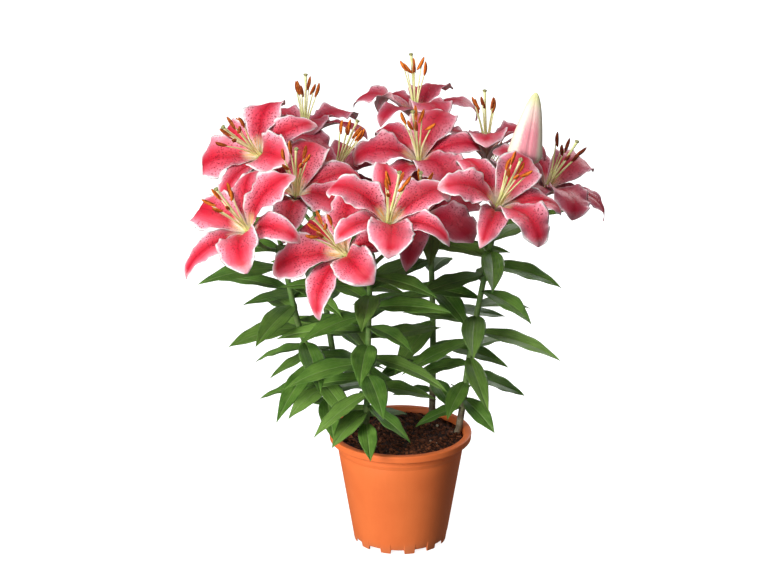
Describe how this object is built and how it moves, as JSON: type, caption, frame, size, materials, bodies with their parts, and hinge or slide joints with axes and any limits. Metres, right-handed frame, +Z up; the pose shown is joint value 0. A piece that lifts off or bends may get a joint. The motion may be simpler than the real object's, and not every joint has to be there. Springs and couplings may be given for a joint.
{
  "type": "potted lily",
  "caption": "Oriental lily in a terracotta-coloured nursery pot: leafy stems with large open pink blooms, crimson in the middle and white at the edge, and a closed bud.",
  "frame": {"origin": "on the pot's axis, at the level of the surface that the pot stands on", "axes": "+Z up the pot's axis, -Y towards the side that the picture shows, +X to that side's right"},
  "size_m": [0.5434, 0.484, 0.6312],
  "materials": {
    "terracotta_plastic": "satin, moulded, terracotta colour",
    "soil": "rough crumbs of bark and peat",
    "bulb": "dull scales",
    "leaf": "satin, with long veins",
    "tepal": "soft, crimson middle, pink, white margin, dark spots",
    "anther": "powdery rust anthers on pale green filaments",
    "bud": "soft, pale pink"
  },
  "bodies": {
    "root": {"bloom_back_stamens": "anther", "bloom_back_tepals": "tepal", "bloom_centre_stamens": "anther", "bloom_centre_tepals": "tepal", "bloom_far_left_stamens": "anther", "bloom_far_left_tepals": "tepal", "bloom_far_right_stamens": "anther", "bloom_far_right_tepals": "tepal", "bloom_front_low_stamens": "anther", "bloom_front_low_tepals": "tepal", "bloom_front_stamens": "anther", "bloom_front_tepals": "tepal", "bloom_inner_stamens": "anther", "bloom_inner_tepals": "tepal", "bloom_left_front_stamens": "anther", "bloom_left_front_tepals": "tepal", "bloom_left_high_stamens": "anther", "bloom_left_high_tepals": "tepal", "bloom_left_low_stamens": "anther", "bloom_left_low_tepals": "tepal", "bloom_mid_left_stamens": "anther", "bloom_mid_left_tepals": "tepal", "bloom_right_front_stamens": "anther", "bloom_right_front_tepals": "tepal", "bloom_right_high_stamens": "anther", "bloom_right_high_tepals": "tepal", "bloom_top_centre_stamens": "anther", "bloom_top_centre_tepals": "tepal", "bloom_top_left_stamens": "anther", "bloom_top_left_tepals": "tepal", "bud": "bud", "bulb_centre": "bulb", "bulb_left": "bulb", "bulb_rear_left": "bulb", "bulb_rear_right": "bulb", "bulb_right": "bulb", "pot": "terracotta_plastic", "soil": "soil", "stem_centre": "leaf", "stem_left": "leaf", "stem_rear_left": "leaf", "stem_rear_right": "leaf", "stem_right": "leaf"}
  },
  "joints": []
}
